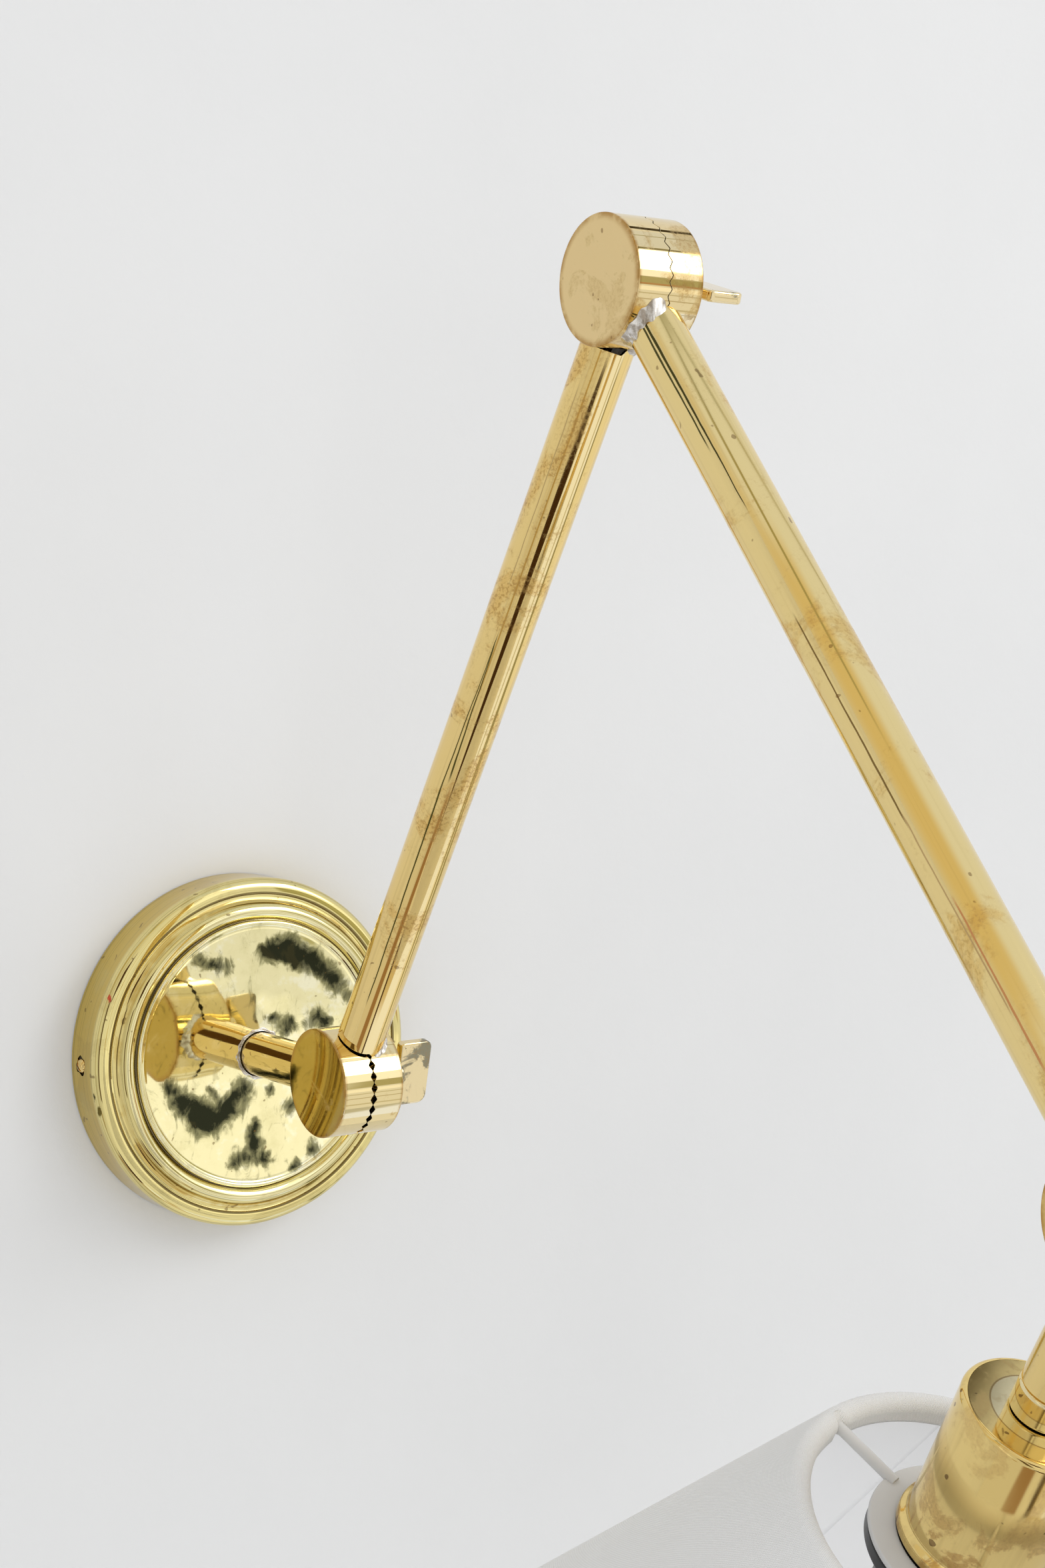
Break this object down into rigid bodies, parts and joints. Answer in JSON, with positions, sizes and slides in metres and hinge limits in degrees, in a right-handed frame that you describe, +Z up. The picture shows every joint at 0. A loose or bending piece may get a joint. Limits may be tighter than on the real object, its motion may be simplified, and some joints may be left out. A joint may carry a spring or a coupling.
{
  "type": "swing arm wall lamp",
  "caption": "Wall-mounted swing arm lamp: round canopy, folding tube arms on serrated knuckle joints with wing keys, and a tapered cloth shade.",
  "frame": {"origin": "centre of the round canopy on the wall plane", "axes": "+Y goes into the wall, so the lamp reaches out to -Y; +Z is up; +X is right for someone facing the wall"},
  "size_m": [0.2498, 0.4424, 0.5221],
  "materials": {
    "tan_brass": "polished brass with light tarnish",
    "lemon_brass": "spun and polished brass, mirror bright with grey-green patches",
    "solder": "bright soft solder, uneven",
    "zinc_steel": "zinc plated, dull",
    "black_resin": "gloss black moulding",
    "white_enamel": "smooth white paint",
    "porcelain": "glazed, off-white",
    "white_cloth": "fine plain weave on a white lining",
    "lead": "smooth white sheath"
  },
  "bodies": {
    "wall": {"wall_bracket": "zinc_steel", "canopy": "lemon_brass", "canopy_screw_left": "tan_brass", "canopy_screw_right": "tan_brass", "earth_screw": "tan_brass", "terminal_block": "porcelain", "terminal_screw_1": "tan_brass", "terminal_screw_2": "tan_brass", "terminal_screw_3": "tan_brass", "stub_tube": "tan_brass", "stub_canopy_solder": "solder", "stub_knuckle_solder": "solder", "wall_knuckle_left": "tan_brass", "lead_wall": "lead"},
    "lower_arm": {"wall_knuckle_right": "tan_brass", "lower_arm_tube": "tan_brass", "lower_arm_root_solder": "solder", "lower_arm_end_solder": "solder", "elbow_knuckle_right": "tan_brass", "lead_lower_arm": "lead"},
    "upper_arm": {"elbow_knuckle_left": "tan_brass", "upper_arm_tube": "tan_brass", "upper_arm_root_solder": "solder", "upper_arm_end_solder": "solder", "head_knuckle_left": "tan_brass", "lead_upper_arm": "lead"},
    "head": {"head_knuckle_right": "tan_brass", "head_stem": "tan_brass", "head_stem_solder": "solder", "stem_bush": "tan_brass", "stem_collar": "tan_brass", "threaded_nipple": "zinc_steel", "cap_nut": "tan_brass", "lampholder_cap": "tan_brass", "lampholder_core": "porcelain", "screw_shell": "tan_brass", "centre_contact": "tan_brass", "lampholder_skirt": "black_resin", "shade_ring": "black_resin", "shade_fitter": "white_enamel", "shade_top_hem": "white_cloth", "shade_cloth": "white_cloth", "shade_bottom_hem": "white_cloth", "shade_bottom_wire": "white_enamel", "lead_head": "lead"},
    "wall_key": {"wall_key": "tan_brass"},
    "elbow_key": {"elbow_key": "tan_brass"},
    "head_key": {"head_key": "tan_brass"}
  },
  "joints": [
    {"name": "lower_arm_hinge", "type": "hinge", "parent": "wall", "child": "lower_arm", "pos_m": [0, -0.0814, 0], "axis": [1, 0, 0], "range_deg": [-36, 60]},
    {"name": "upper_arm_hinge", "type": "hinge", "parent": "lower_arm", "child": "upper_arm", "pos_m": [0, -0.23685, 0.25072], "axis": [-1, 0, 0], "range_deg": [-12, 180]},
    {"name": "head_hinge", "type": "hinge", "parent": "upper_arm", "child": "head", "pos_m": [0, -0.4239, 0.0226], "axis": [1, 0, 0], "range_deg": [-180, 48]},
    {"name": "wall_key_turn", "type": "hinge", "parent": "wall", "child": "wall_key", "pos_m": [0, -0.0814, 0], "axis": [1, 0, 0], "range_deg": [0, 360]},
    {"name": "elbow_key_turn", "type": "hinge", "parent": "upper_arm", "child": "elbow_key", "pos_m": [0, -0.23685, 0.25072], "axis": [1, 0, 0], "range_deg": [0, 360]},
    {"name": "head_key_turn", "type": "hinge", "parent": "upper_arm", "child": "head_key", "pos_m": [0, -0.4239, 0.0226], "axis": [1, 0, 0], "range_deg": [0, 360]}
  ]
}
